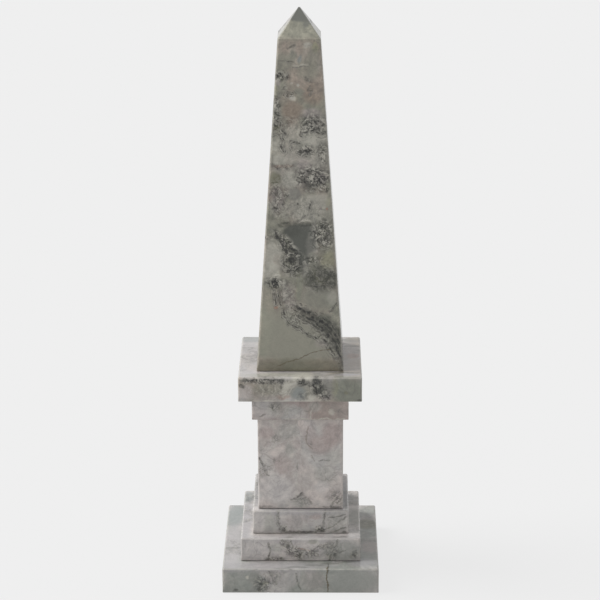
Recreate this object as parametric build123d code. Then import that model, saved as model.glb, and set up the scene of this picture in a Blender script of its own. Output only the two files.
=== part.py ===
from build123d import *
import os

# Marble table obelisk on a stepped pedestal.
# Seven polished blocks stand one on another, each on a thin resin bed, and a tie rod
# draws them together from a recess in the underside into the foot of the shaft.
# Millimetres, +Z up. The origin is the centre of the underside, and +Y points to the back.

# Square sides of the blocks, from the bottom up
plinth_side = 125.0
lower_step_side = 96.0
upper_step_side = 77.0
die_side = 68.0
neck_side = 76.5
cap_side = 97.0
shaft_foot_side = 68.5
shaft_shoulder_side = 32.8

# Heights of the blocks: the slabs are cut from stock of about 20 mm
plinth_height = 21.0
lower_step_height = 19.5
upper_step_height = 19.5
die_height = 78.0
neck_height = 19.0
cap_height = 20.0
shaft_height = 260.5
pyramidion_height = 21.5
pyramidion_tip_side = 1.2

# Arrises eased at 45 degrees: what is taken off each face beside the edge
slab_arris = 1.2
die_arris = 1.0
shaft_arris = 1.4

# Resin beds between the blocks, kept back from the eased arris above
bed_thickness = 0.3
bed_setback = 1.0

# Tie rod, threaded at both ends, with its passage through the blocks
rod_diameter = 8.0
rod_bore_clearance = 1.0
rod_end_chamfer = 0.8
anchor_depth = 55.0
anchor_cover = 3.0

# Nut and washer in the recess under the plinth
nut_across_flats = 13.0
nut_height = 6.5
nut_corner_chamfer = 0.9
washer_diameter = 24.0
washer_thickness = 2.0
washer_bore_clearance = 0.2
recess_clearance = 2.0
rod_past_nut = 2.0
rod_end_cover = 2.0

# Sizes that follow from the ones above
bore_radius = rod_diameter / 2 + rod_bore_clearance
recess_radius = washer_diameter / 2 + recess_clearance
recess_depth = rod_end_cover + rod_past_nut + nut_height + washer_thickness

# Name, side, height and arris of each pedestal block, from the bottom up
pedestal_blocks = [
    ("plinth", plinth_side, plinth_height, slab_arris),
    ("lower_step", lower_step_side, lower_step_height, slab_arris),
    ("upper_step", upper_step_side, upper_step_height, slab_arris),
    ("die", die_side, die_height, die_arris),
    ("neck_slab", neck_side, neck_height, slab_arris),
    ("cap_slab", cap_side, cap_height, slab_arris),
]

standing = (Align.CENTER, Align.CENTER, Align.MIN)


def round_bar(radius, length, base_z):
    """Upright cylinder on the axis of the obelisk, standing at base_z."""
    return Pos(0, 0, base_z) * Cylinder(radius, length, align=standing)


def pedestal_block(side, height, arris, base_z):
    """Square block with every arris eased and the rod's passage through it."""
    block = Pos(0, 0, base_z) * Box(side, side, height, align=standing)
    block = chamfer(block.edges(), length=arris)
    return block - round_bar(bore_radius, height, base_z)


def plinth_recess():
    """Round pocket in the underside that takes the washer and the nut."""
    return round_bar(recess_radius, recess_depth, 0)


def resin_bed(upper_side, upper_arris, lower_side, lower_arris, base_z):
    """Thin square bed between two blocks, out of sight behind their arrises."""
    upper_flat = upper_side - 2 * upper_arris
    lower_flat = lower_side - 2 * lower_arris
    side = min(upper_flat, lower_flat) - 2 * bed_setback
    bed = Pos(0, 0, base_z) * Box(side, side, bed_thickness, align=standing)
    return bed - round_bar(bore_radius, bed_thickness, base_z)


def eased_square(side, arris, z):
    """Square section at height z with its four corners cut at 45 degrees."""
    section = chamfer(Rectangle(side, side).vertices(), length=arris)
    return (Pos(0, 0, z) * section).face()


def obelisk_shaft(base_z):
    """Tapered shaft and its pyramidion, one stone, with arrises that keep their
    width up the taper and run together at the tip."""
    foot = eased_square(shaft_foot_side, shaft_arris, base_z)
    shoulder_z = base_z + shaft_height
    shoulder = eased_square(shaft_shoulder_side, shaft_arris, shoulder_z)
    tip_arris = shaft_arris * pyramidion_tip_side / shaft_shoulder_side
    tip_z = shoulder_z + pyramidion_height
    tip = eased_square(pyramidion_tip_side, tip_arris, tip_z)
    stone = loft([foot, shoulder], ruled=True) + loft([shoulder, tip], ruled=True)
    foot_face = stone.faces().sort_by(Axis.Z)[0]
    stone = chamfer(foot_face.edges(), length=shaft_arris)
    return stone - round_bar(bore_radius, anchor_depth + anchor_cover, base_z)


def tie_rod(bottom_z, top_z):
    """Round rod with chamfered ends."""
    rod = round_bar(rod_diameter / 2, top_z - bottom_z, bottom_z)
    return chamfer(rod.edges().filter_by(GeomType.CIRCLE), length=rod_end_chamfer)


def rod_anchor(base_z, rod):
    """Resin that fills the blind hole in the shaft around and above the rod."""
    return round_bar(bore_radius, anchor_depth + anchor_cover, base_z) - rod


def hexagon_nut(base_z):
    """Hexagon nut whose corners are turned down at both ends."""
    flats = RegularPolygon(nut_across_flats / 2, 6, major_radius=False)
    prism = extrude(Pos(0, 0, base_z) * flats, amount=nut_height)
    corner_radius = nut_across_flats / 3**0.5
    turned = round_bar(corner_radius, nut_height, base_z)
    turned = chamfer(turned.edges().filter_by(GeomType.CIRCLE), length=nut_corner_chamfer)
    return (prism & turned) - round_bar(rod_diameter / 2, nut_height, base_z)


def flat_washer(base_z):
    """Plain round washer that spreads the nut's pull over the stone."""
    hole_radius = rod_diameter / 2 + washer_bore_clearance
    disc = round_bar(washer_diameter / 2, washer_thickness, base_z)
    return disc - round_bar(hole_radius, washer_thickness, base_z)


def build_pedestal():
    """Blocks and the beds between them, and the height of the cap's top face."""
    pieces = {}
    z = 0.0
    below = None
    for name, side, height, arris in pedestal_blocks:
        if below:
            below_side, below_arris = below
            pieces[name + "_bed"] = resin_bed(side, arris, below_side, below_arris, z)
            z += bed_thickness
        pieces[name] = pedestal_block(side, height, arris, z)
        below = (side, arris)
        z += height
    pieces["plinth"] = pieces["plinth"] - plinth_recess()
    return pieces, z


def build_shaft(cap_top_z):
    """Shaft on its bed, and the height at which the stone of the shaft starts."""
    bed = resin_bed(shaft_foot_side, shaft_arris, cap_side, slab_arris, cap_top_z)
    base_z = cap_top_z + bed_thickness
    return {"shaft_bed": bed, "obelisk_shaft": obelisk_shaft(base_z)}, base_z


def build_tie(shaft_base_z):
    """Rod from the recess up into the shaft, with its washer, nut and resin."""
    rod = tie_rod(rod_end_cover, shaft_base_z + anchor_depth)
    nut_base_z = rod_end_cover + rod_past_nut
    return {
        "tie_rod": rod,
        "tie_rod_nut": hexagon_nut(nut_base_z),
        "tie_rod_washer": flat_washer(nut_base_z + nut_height),
        "tie_rod_anchor": rod_anchor(shaft_base_z, rod),
    }


def main():
    pieces, cap_top_z = build_pedestal()
    shaft_pieces, shaft_base_z = build_shaft(cap_top_z)
    pieces.update(shaft_pieces)
    pieces.update(build_tie(shaft_base_z))
    os.makedirs("parts", exist_ok=True)
    for name, piece in pieces.items():
        export_step(piece, f"parts/{name}.step")
        print(f"{name}: {piece.volume:.0f} mm3")


main()
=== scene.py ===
import math

import bpy
from bpy.props import FloatProperty, FloatVectorProperty, IntProperty, PointerProperty
from mathutils import Euler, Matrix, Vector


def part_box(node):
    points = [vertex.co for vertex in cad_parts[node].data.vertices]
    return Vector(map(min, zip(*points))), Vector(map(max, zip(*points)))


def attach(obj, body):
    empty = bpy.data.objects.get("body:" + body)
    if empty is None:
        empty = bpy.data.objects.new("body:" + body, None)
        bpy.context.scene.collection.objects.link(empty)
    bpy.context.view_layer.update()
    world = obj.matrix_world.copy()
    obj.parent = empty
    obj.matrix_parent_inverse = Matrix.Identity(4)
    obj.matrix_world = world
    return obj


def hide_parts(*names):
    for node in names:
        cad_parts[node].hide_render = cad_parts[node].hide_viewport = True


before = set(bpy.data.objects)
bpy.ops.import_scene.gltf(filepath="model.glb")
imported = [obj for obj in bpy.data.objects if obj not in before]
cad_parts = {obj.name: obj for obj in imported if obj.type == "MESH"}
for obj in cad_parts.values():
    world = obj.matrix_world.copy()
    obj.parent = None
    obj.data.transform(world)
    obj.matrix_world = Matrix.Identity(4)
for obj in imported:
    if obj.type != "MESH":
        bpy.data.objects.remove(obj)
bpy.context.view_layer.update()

bl_info = {
    "name": "Marble Table Obelisk",
    "version": (1, 0, 0),
    "blender": (4, 5, 0),
    "location": "3D View > Sidebar > Obelisk",
    "description": "Dresses the blocks of a small breccia marble obelisk and lights it on a pale stage",
    "category": "Object",
}

MM = 0.001

# Blocks from the bottom up: place in the quarry that each is cut from, in mm, its two tones,
# and how lively it is: how much it is mottled and how much dark mineral runs through it
block_stones = {
    "plinth": ((310, 40, 0), ("cool", "ash"), 0.2),
    "lower_step": ((0, 520, 90), ("pale_ash", "rose"), 0.3),
    "upper_step": ((140, 260, 700), ("ash", "pale_ash"), 0.35),
    "die": ((820, 90, 330), ("rose", "pale_ash"), 0.35),
    "neck_slab": ((450, 640, 210), ("blush", "ash"), 0.35),
    "cap_slab": ((60, 980, 520), ("fawn", "ash"), 0.25),
    "obelisk_shaft": ((0, 0, 0), ("olive", "pink"), 1.0),
}
pedestal_blocks = list(block_stones)[:-1]

resin_nodes = [name + "_bed" for name in pedestal_blocks[1:]] + ["shaft_bed", "tie_rod_anchor"]


def box_of(node):
    """Side, height and foot of an upright CAD node, from the frame."""
    low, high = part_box(node)
    return high[0] - low[0], high[2] - low[2], low[2]


def linear(display):
    """Scene colour of a tone given from 0 to 255 as a screen shows it."""
    share = display / 255
    if share <= 0.04045:
        return share / 12.92
    return ((share + 0.055) / 1.055) ** 2.4


# What a polished upright face mirrors of the pale room, and how much light falls on it
mirrored = 0.036
light_on_fronts = 0.8


def stone_tone(red, green, blue):
    """Colour of the stone itself where an upright face shows this tone on a screen."""
    return tuple(max(linear(part) - mirrored, 0.002) / light_on_fronts for part in (red, green, blue))


# Node trees


class Wire:
    """Output of a node, with arithmetic that adds Math nodes to its tree."""

    def __init__(self, graph, socket):
        self.graph = graph
        self.socket = socket

    def __add__(self, other):
        return self.graph.math("ADD", self, other)

    def __sub__(self, other):
        return self.graph.math("SUBTRACT", self, other)

    def __mul__(self, other):
        return self.graph.math("MULTIPLY", self, other)

    def __truediv__(self, other):
        return self.graph.math("DIVIDE", self, other)

    def __rsub__(self, other):
        return self.graph.math("SUBTRACT", other, self)

    def __rtruediv__(self, other):
        return self.graph.math("DIVIDE", other, self)

    __radd__ = __add__
    __rmul__ = __mul__


class Graph:
    """Node tree in the making. Each method adds a node and returns its output."""

    def __init__(self, tree):
        self.tree = tree

    def node(self, kind, inputs=None, **settings):
        """Adds a node, feeds its inputs and returns the node itself."""
        made = self.tree.nodes.new(kind)
        for name, value in settings.items():
            setattr(made, name, value)
        for key, value in (inputs or {}).items():
            self.feed(value, made.inputs[key])
        return made

    def feed(self, value, socket):
        """Links a wire to the socket, or sets the socket's value."""
        if isinstance(value, Wire):
            self.tree.links.new(value.socket, socket)
        elif value is not None:
            socket.default_value = value

    def out(self, made, key=0):
        return Wire(self, made.outputs[key])

    def math(self, operation, *values):
        return self.out(self.node("ShaderNodeMath", dict(enumerate(values)), operation=operation))

    def vector(self, operation, *values):
        made = self.node("ShaderNodeVectorMath", dict(enumerate(values)), operation=operation)
        return self.out(made)

    def squares(self, first, *others):
        """Sum of the squares."""
        total = first * first
        for value in others:
            total = self.math("MULTIPLY_ADD", value, value, total)
        return total

    def scaled(self, vector, factor):
        made = self.node("ShaderNodeVectorMath", {0: vector, "Scale": factor}, operation="SCALE")
        return self.out(made)

    def parts(self, vector):
        made = self.node("ShaderNodeSeparateXYZ", {0: vector})
        return [self.out(made, axis) for axis in range(3)]

    def joined(self, x, y, z):
        return self.out(self.node("ShaderNodeCombineXYZ", {0: x, 1: y, 2: z}))

    def ranged(self, value, low, high, to_low=0.0, to_high=1.0, smooth=False):
        """Value carried from low..high to to_low..to_high and held at both ends."""
        made = self.node(
            "ShaderNodeMapRange",
            {0: value, 1: low, 2: high, 3: to_low, 4: to_high},
            interpolation_type="SMOOTHSTEP" if smooth else "LINEAR",
            clamp=not smooth,
        )
        return self.out(made)

    def stepped(self, value, knots):
        """Straight-line curve through the knots, pairs of a value and what it becomes."""
        total = knots[0][1]
        for (low, to_low), (high, to_high) in zip(knots, knots[1:]):
            total = self.ranged(value, low, high, 0.0, to_high - to_low) + total
        return total

    def noise(self, vector, size, detail=2.0, roughness=0.5, colour=False):
        """Noise from 0 to 1 whose lumps are about this size."""
        inputs = {"Vector": vector, "Scale": 1.0 / size, "Detail": detail, "Roughness": roughness}
        return self.out(self.node("ShaderNodeTexNoise", inputs), "Color" if colour else "Fac")

    def bent(self, vector, size, reach):
        """The vector pushed about by noise, by up to about reach."""
        push = self.vector("SUBTRACT", self.noise(vector, size, 1.0, colour=True), (0.5, 0.5, 0.5))
        return self.vector("ADD", vector, self.scaled(push, 2.0 * reach))

    def cells(self, vector, size, feature="F1", **inputs):
        """Voronoi node whose cells are about this size."""
        inputs = {"Vector": vector, "Scale": 1.0 / size, **inputs}
        return self.node("ShaderNodeTexVoronoi", inputs, feature=feature)

    def shade_of(self, cells, channel=0):
        """Chance value from 0 to 1 of each Voronoi cell."""
        split = self.node("ShaderNodeSeparateColor", {0: self.out(cells, "Color")})
        return self.out(split, channel)

    def blend(self, factor, first, second, mode="MIX"):
        """Second colour over the first."""
        made = self.node(
            "ShaderNodeMix",
            {0: factor, 6: first, 7: second},
            data_type="RGBA",
            blend_type=mode,
            clamp_factor=True,
        )
        return self.out(made, 2)

    def tinted(self, colour, amount, low, high):
        """Colour multiplied by a factor between low and high."""
        return self.blend(1.0, colour, self.blend(amount, low, high), "MULTIPLY")

    def arrange(self):
        """Nodes in columns, each left of all that it feeds."""
        sources = {}
        for link in self.tree.links:
            sources.setdefault(link.to_node.name, []).append(link.from_node.name)
        column = {made.name: 0 for made in self.tree.nodes}
        for name in reversed(list(column)):
            for source in sources.get(name, []):
                column[source] = max(column[source], column[name] + 1)
        rows = {}
        for made in self.tree.nodes:
            place = column[made.name]
            rows[place] = rows.get(place, 0) + 1
            made.location = (-220 * place, -260 * rows[place])


def group_tree(name, kind, inputs, outputs):
    """New node group with its sockets, its graph and its inputs by name."""
    tree = bpy.data.node_groups.new(name, kind)
    for socket_name, socket_kind, default in inputs:
        socket = tree.interface.new_socket(socket_name, in_out="INPUT", socket_type=socket_kind)
        if default is not None:
            socket.default_value = default
    for socket_name, socket_kind in outputs:
        tree.interface.new_socket(socket_name, in_out="OUTPUT", socket_type=socket_kind)
    graph = Graph(tree)
    entry = graph.node("NodeGroupInput")
    given = {socket_name: graph.out(entry, socket_name) for socket_name, _, _ in inputs}
    return graph, given


def finish_tree(graph, results):
    """Ends a node group on the given results, in the order of its output sockets."""
    graph.node("NodeGroupOutput", dict(enumerate(results)))
    graph.arrange()
    return graph.tree


LENGTH = "NodeSocketFloat"
COUNT = "NodeSocketInt"


# Shapes


def grown(name, tree, values):
    """Piece that a Geometry Nodes tree makes, turned to a plain mesh."""
    piece = bpy.data.objects.new(name, bpy.data.meshes.new(name))
    bpy.context.scene.collection.objects.link(piece)
    modifier = piece.modifiers.new("Make", "NODES")
    modifier.node_group = tree
    for item in tree.interface.items_tree:
        if item.in_out == "INPUT" and item.name in values:
            modifier[item.identifier] = values[item.name]
    depsgraph = bpy.context.evaluated_depsgraph_get()
    mesh = bpy.data.meshes.new_from_object(
        piece.evaluated_get(depsgraph), preserve_all_data_layers=True, depsgraph=depsgraph
    )
    piece.modifiers.remove(modifier)
    piece.data = mesh
    mesh.name = name
    if not mesh.polygons:
        raise RuntimeError(f"{name} came out empty")
    return piece


stone_inputs = [
    ("Arris", LENGTH, 1.2 * MM),
    ("Foot Share", LENGTH, 0.32),
    ("Arris Cells", COUNT, 4),
    ("Arris Zone", LENGTH, 1.6 * MM),
    ("Roundness", LENGTH, 1.3),
    ("Unevenness", LENGTH, 0.14),
    ("Chip Depth", LENGTH, 1.1 * MM),
    ("Chip Share", LENGTH, 0.3),
    ("Bore Radius", LENGTH, 5.0 * MM),
    ("Bore Depth", LENGTH, 0.1),
    ("Recess Radius", LENGTH, 0.0),
    ("Recess Depth", LENGTH, 0.0),
    ("Seed", LENGTH, 0.0),
    ("Stone", "NodeSocketMaterial", None),
]


def crowded(graph, place, cells, given, zone):
    """Place from -1 to 1 on an even grid, moved so that the outer cells lie beside the arris."""
    near = 1.0 - 2.0 * given["Arris Cells"] / cells
    far = graph.math("ABSOLUTE", place)
    inner = far * (1.0 - zone) / near
    outer = 1.0 - (1.0 - far) * zone / (1.0 - near)
    return graph.math("MINIMUM", inner, outer) * graph.math("SIGN", place)


# Wear of an arris: the heights above the foot between which it widens to its full width, the sizes
# of its waves, of its chips and of the stretches with more chips, the noise above which it is
# chipped, and how far above that a chip has its full depth
foot_zone = (1.5 * MM, 6 * MM)
wave_size = 11 * MM
chip_size = 3.6 * MM
stretch_size = 21 * MM
chip_start = 0.84
chip_softness = 0.07


def worn_arris(graph, given, position, arris):
    """Width taken off the arris here: a little uneven, less at the foot, more where it is chipped."""
    level = graph.parts(position)[2] - given["Foot"]
    arris = arris * graph.ranged(level, *foot_zone, given["Foot Share"], 1.0)
    shift = graph.joined(given["Seed"], given["Seed"], given["Seed"])
    shifted = graph.vector("ADD", position, shift)
    wave = graph.noise(shifted, wave_size, 2.0) - 0.5
    flakes = graph.noise(shifted, chip_size, 1.0)
    stretches = graph.noise(shifted, stretch_size, 1.0)
    start = chip_start - given["Chip Share"] * stretches
    chip = graph.ranged(flakes, start, start + chip_softness, smooth=True)
    return arris * (1.0 + 2.0 * given["Unevenness"] * wave) + given["Chip Depth"] * chip


def eased(graph, given, position, low, high, arris):
    """Position on a box with its arrises eased, and how far onto an arris it is, from 0 to 1."""
    arrises = graph.joined(arris, arris, arris)
    inner_low = graph.vector("ADD", low, arrises)
    inner_high = graph.vector("SUBTRACT", high, arrises)
    core = graph.vector("MINIMUM", graph.vector("MAXIMUM", position, inner_low), inner_high)
    reach = graph.vector("ABSOLUTE", graph.vector("SUBTRACT", position, core))
    parts = graph.parts(reach)
    total = 1e-9
    for part in parts:
        total = graph.math("POWER", part, given["Roundness"]) + total
    norm = graph.math("POWER", total, 1.0 / given["Roundness"])
    step = graph.scaled(graph.vector("SUBTRACT", position, core), arris / norm)
    # On a flat face one direction has all of the reach, and on an arris two share it
    longest = graph.math("MAXIMUM", graph.math("MAXIMUM", parts[0], parts[1]), parts[2])
    spread = parts[0] + parts[1] + parts[2]
    share = graph.ranged(longest / spread, 0.95, 0.6, smooth=True)
    return graph.vector("ADD", core, step), share


# Sides of a bore, how far below the stone its cutter starts, and the angle above which an edge
# stays crisp
bore_sides = 64
cutter_start = 1.0 * MM
crisp_angle = math.radians(29)


def round_cutter(graph, radius, bottom, depth):
    """Upright cylinder for a bore or a recess."""
    made = graph.node(
        "GeometryNodeMeshCylinder",
        {"Vertices": bore_sides, "Side Segments": 1, "Radius": radius, "Depth": depth},
    )
    lift = graph.joined(0.0, 0.0, bottom + depth * 0.5)
    inputs = {"Geometry": graph.out(made), "Translation": lift}
    return graph.out(graph.node("GeometryNodeTransform", inputs))


def finished_stone(graph, given, block, place, share, base):
    """Moves the grid to its place, cuts the bore and the recess and gives it its stone."""
    marked = graph.node(
        "GeometryNodeStoreNamedAttribute",
        {"Geometry": block, "Name": "arris", "Value": share},
        data_type="FLOAT",
        domain="POINT",
    )
    moved = graph.node("GeometryNodeSetPosition", {"Geometry": graph.out(marked), "Position": place})
    cut = graph.out(moved)
    for radius, depth in (("Bore Radius", "Bore Depth"), ("Recess Radius", "Recess Depth")):
        tool = round_cutter(graph, given[radius], base - cutter_start, given[depth] + cutter_start)
        sliced = graph.node(
            "GeometryNodeMeshBoolean", {0: cut, 1: tool}, operation="DIFFERENCE", solver="MANIFOLD"
        )
        wanted = graph.math("GREATER_THAN", given[radius], 0.0)
        chosen = graph.node(
            "GeometryNodeSwitch", {0: wanted, 1: cut, 2: graph.out(sliced)}, input_type="GEOMETRY"
        )
        cut = graph.out(chosen)
    smooth = graph.node(
        "GeometryNodeSetShadeSmooth", {"Geometry": cut, "Shade Smooth": True}, domain="FACE"
    )
    angle = graph.out(graph.node("GeometryNodeInputMeshEdgeAngle"))
    steep = graph.math("GREATER_THAN", angle, crisp_angle)
    crisp = graph.node(
        "GeometryNodeSetShadeSmooth",
        {"Geometry": graph.out(smooth), "Selection": steep, "Shade Smooth": False},
        domain="EDGE",
    )
    real = graph.node("GeometryNodeRealizeInstances", {"Geometry": graph.out(crisp)})
    stone = graph.node("GeometryNodeSetMaterial", {"Geometry": graph.out(real), "Material": given["Stone"]})
    return finish_tree(graph, [graph.out(stone)])


def block_tree():
    """Square block with eased and slightly worn arrises and its bore."""
    inputs = [
        ("Side", LENGTH, 0.1),
        ("Height", LENGTH, 0.02),
        ("Foot", LENGTH, 0.0),
        ("Cells Across", COUNT, 80),
        ("Cells Up", COUNT, 24),
    ]
    graph, given = group_tree(
        "dressed block", "GeometryNodeTree", inputs + stone_inputs, [("Block", "NodeSocketGeometry")]
    )
    cube = graph.node(
        "GeometryNodeMeshCube",
        {
            "Size": (2.0, 2.0, 2.0),
            "Vertices X": given["Cells Across"] + 1.0,
            "Vertices Y": given["Cells Across"] + 1.0,
            "Vertices Z": given["Cells Up"] + 1.0,
        },
    )
    x, y, z = graph.parts(graph.out(graph.node("GeometryNodeInputPosition")))
    half_side = given["Side"] * 0.5
    half_height = given["Height"] * 0.5
    across = given["Arris Zone"] / half_side
    x = crowded(graph, x, given["Cells Across"], given, across) * half_side
    y = crowded(graph, y, given["Cells Across"], given, across) * half_side
    z = crowded(graph, z, given["Cells Up"], given, given["Arris Zone"] / half_height) * half_height
    middle = given["Foot"] + half_height
    position = graph.joined(x, y, z + middle)
    low = graph.joined(half_side * -1.0, half_side * -1.0, given["Foot"])
    high = graph.joined(half_side, half_side, given["Foot"] + given["Height"])
    arris = worn_arris(graph, given, position, given["Arris"])
    place, share = eased(graph, given, position, low, high, arris)
    return finished_stone(graph, given, graph.out(cube), place, share, given["Foot"])


def shaft_tree():
    """Tapered shaft and pyramidion, whose arrises keep their width up the taper and meet at the tip."""
    inputs = [
        ("Foot Side", LENGTH, 0.0685),
        ("Shoulder Side", LENGTH, 0.0328),
        ("Tip Side", LENGTH, 0.0012),
        ("Shoulder Height", LENGTH, 0.2605),
        ("Height", LENGTH, 0.282),
        ("Foot", LENGTH, 0.179),
        ("Cells Across", COUNT, 60),
        ("Foot Rings", COUNT, 6),
        ("Shaft Rings", COUNT, 200),
        ("Pyramidion Rings", COUNT, 24),
    ]
    graph, given = group_tree(
        "tapered shaft", "GeometryNodeTree", inputs + stone_inputs, [("Shaft", "NodeSocketGeometry")]
    )
    rings = given["Foot Rings"] + given["Shaft Rings"] + given["Pyramidion Rings"]
    cube = graph.node(
        "GeometryNodeMeshCube",
        {
            "Size": (2.0, 2.0, 1.0),
            "Vertices X": given["Cells Across"] + 1.0,
            "Vertices Y": given["Cells Across"] + 1.0,
            "Vertices Z": rings + 1.0,
        },
    )
    x, y, z = graph.parts(graph.out(graph.node("GeometryNodeInputPosition")))
    up = z + 0.5
    foot_end = given["Foot Rings"] / rings
    shoulder = 1.0 - given["Pyramidion Rings"] / rings
    height = graph.stepped(
        up,
        [
            (0.0, 0.0),
            (foot_end, given["Arris Zone"]),
            (shoulder, given["Shoulder Height"]),
            (1.0, given["Height"]),
        ],
    )
    half_foot = given["Foot Side"] * 0.5
    half_shoulder = given["Shoulder Side"] * 0.5
    half_tip = given["Tip Side"] * 0.5
    half = graph.stepped(
        height,
        [(0.0, half_foot), (given["Shoulder Height"], half_shoulder), (given["Height"], half_tip)],
    )
    slenderness = graph.math("MINIMUM", half / half_shoulder, 1.0)
    zone = given["Arris Zone"] * slenderness / half
    x = crowded(graph, x, given["Cells Across"], given, zone) * half
    y = crowded(graph, y, given["Cells Across"], given, zone) * half
    position = graph.joined(x, y, height + given["Foot"])
    low = graph.joined(half * -1.0, half * -1.0, given["Foot"])
    high = graph.joined(half, half, given["Foot"] + given["Height"] + 1.0)
    arris = worn_arris(graph, given, position, given["Arris"]) * slenderness
    place, share = eased(graph, given, position, low, high, arris)
    return finished_stone(graph, given, graph.out(cube), place, share, given["Foot"])


# The thread falls from its crest to its root between these shares of half a pitch
groove_flank = (0.2, 0.85)


def rod_tree():
    """Round rod with a screw thread cut at both ends."""
    inputs = [
        ("Radius", LENGTH, 4 * MM),
        ("Length", LENGTH, 0.23),
        ("Foot", LENGTH, 2 * MM),
        ("Pitch", LENGTH, 1.25 * MM),
        ("Thread Depth", LENGTH, 0.68 * MM),
        ("Lower Thread", LENGTH, 22 * MM),
        ("Upper Thread", LENGTH, 40 * MM),
        ("Rings a Turn", COUNT, 8),
        ("Sides", COUNT, 36),
        ("End Chamfer", LENGTH, 0.8 * MM),
        ("Steel", "NodeSocketMaterial", None),
    ]
    graph, given = group_tree("threaded rod", "GeometryNodeTree", inputs, [("Rod", "NodeSocketGeometry")])
    lower = given["Lower Thread"] / given["Pitch"] * given["Rings a Turn"]
    upper = given["Upper Thread"] / given["Pitch"] * given["Rings a Turn"]
    rings = lower + upper + 1.0
    bar = graph.node(
        "GeometryNodeMeshCylinder",
        {"Vertices": given["Sides"], "Side Segments": rings, "Radius": 1.0, "Depth": 1.0},
    )
    x, y, z = graph.parts(graph.out(graph.node("GeometryNodeInputPosition")))
    upper_start = given["Length"] - given["Upper Thread"]
    height = graph.stepped(
        z + 0.5,
        [
            (0.0, 0.0),
            (lower / rings, given["Lower Thread"]),
            ((lower + 1.0) / rings, upper_start),
            (1.0, given["Length"]),
        ],
    )
    turn = graph.math("ARCTAN2", y, x) / math.tau
    # Whole turns are added so that the fraction is taken of a positive number
    along = graph.math("FRACT", height / given["Pitch"] - turn + 8.0)
    flank = graph.math("ABSOLUTE", along * 2.0 - 1.0)
    groove = given["Thread Depth"] * graph.ranged(flank, *groove_flank)
    on_lower = graph.math("LESS_THAN", height, given["Lower Thread"] + 1e-6)
    on_upper = graph.math("GREATER_THAN", height, upper_start - 1e-6)
    radius = given["Radius"] - groove * graph.math("MAXIMUM", on_lower, on_upper)
    from_end = graph.math("MINIMUM", height, given["Length"] - height)
    radius = graph.math("MINIMUM", radius, given["Radius"] - given["End Chamfer"] + from_end)
    place = graph.joined(x * radius, y * radius, height + given["Foot"])
    moved = graph.node("GeometryNodeSetPosition", {"Geometry": graph.out(bar), "Position": place})
    real = graph.node("GeometryNodeRealizeInstances", {"Geometry": graph.out(moved)})
    steel = graph.node("GeometryNodeSetMaterial", {"Geometry": graph.out(real), "Material": given["Steel"]})
    return finish_tree(graph, [graph.out(steel)])


# Stone

# A vein runs back into the stone as a sheet: a distance from front to back counts for this share
vein_depth_share = 0.12


def spot_tree():
    """Soft-edged oval body in the stone: its strength inside and 0 outside."""
    names = ["X", "Y", "Z", "Centre X", "Centre Y", "Centre Z"]
    names += ["Half Width", "Half Depth", "Half Height", "Turn", "Softness", "Strength"]
    graph, given = group_tree(
        "stone spot", "ShaderNodeTree", [(name, LENGTH, None) for name in names], [("Mask", LENGTH)]
    )
    dx, dy, dz = (given[axis] - given["Centre " + axis] for axis in "XYZ")
    cosine = graph.math("COSINE", given["Turn"])
    sine = graph.math("SINE", given["Turn"])
    across = graph.math("MULTIPLY_ADD", dx, cosine, dz * sine) / given["Half Width"]
    up = graph.math("MULTIPLY_ADD", dz, cosine, dx * (sine * -1.0)) / given["Half Height"]
    deep = dy / given["Half Depth"]
    distance = graph.math("SQRT", graph.squares(across, up, deep))
    outer = given["Softness"] + 1.0
    inner = 1.0 - given["Softness"]
    return finish_tree(graph, [graph.ranged(distance, outer, inner, 0.0, given["Strength"], smooth=True)])


def run_tree():
    """Squared distance from one straight run of a vein."""
    names = ["X", "Y", "Z", "Start X", "Start Y", "Start Z", "Run X", "Run Z"]
    graph, given = group_tree(
        "vein run", "ShaderNodeTree", [(name, LENGTH, None) for name in names], [("Square", LENGTH)]
    )
    dx, dy, dz = (given[axis] - given["Start " + axis] for axis in "XYZ")
    along = graph.math("MULTIPLY_ADD", dx, given["Run X"], dz * given["Run Z"])
    length = graph.squares(given["Run X"], given["Run Z"])
    share = graph.math("MAXIMUM", graph.math("MINIMUM", along / length, 1.0), 0.0)
    across = graph.math("MULTIPLY_ADD", share, given["Run X"] * -1.0, dx)
    up = graph.math("MULTIPLY_ADD", share, given["Run Z"] * -1.0, dz)
    return finish_tree(graph, [graph.squares(across, up, dy * vein_depth_share)])


def mark_groups():
    """Node groups that the marks are made with."""
    return {"spot": spot_tree(), "run": run_tree()}


class Front:
    """Front face of a block, in mm: its foot, its height, half its side at the foot, and how much it
    leans back for each mm of height below and above the shoulder."""

    def __init__(self, foot, height, half, slope=0.0, shoulder=1e6, tip_slope=0.0):
        self.foot = foot
        self.height = height
        self.half = half
        self.slope = slope
        self.shoulder = shoulder
        self.tip_slope = tip_slope

    def at(self, height):
        """Its y at this height."""
        over = max(height - self.shoulder, 0.0)
        return -(self.half - self.slope * (height - over) - self.tip_slope * over)


# How far a mark on the front reaches into the stone, how high one on a top face reaches,
# and how soft the edges of marks are
mark_depth = 7
top_mark_height = 5
mark_softness = 0.4
cluster_softness = 0.55


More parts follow.
